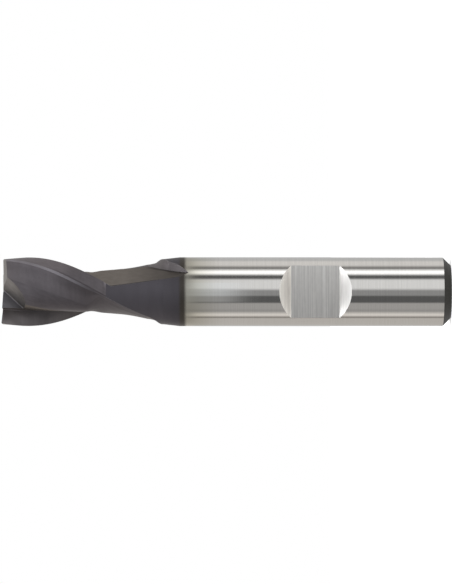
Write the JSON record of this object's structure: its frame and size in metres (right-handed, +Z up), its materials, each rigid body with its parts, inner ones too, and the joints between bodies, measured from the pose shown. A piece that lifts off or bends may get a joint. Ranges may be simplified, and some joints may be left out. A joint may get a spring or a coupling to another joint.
{
  "type": "slot drill",
  "caption": "Solid end-cutting milling tool with helical flutes that run out towards a plain cylindrical shank, which carries a flat for the holder's clamping screw",
  "frame": {"origin": "centre of the shank's end face, which the tool stands on", "axes": "+Z runs up the tool's axis to the cutting tip; the clamping flat faces -Y; +X completes the right-handed frame"},
  "size_m": [0.01, 0.01, 0.0651],
  "materials": {
    "tool_steel": "ground shank, dark thin coating on the cutting end"
  },
  "bodies": {
    "root": {"slot_drill": "tool_steel"}
  },
  "joints": []
}
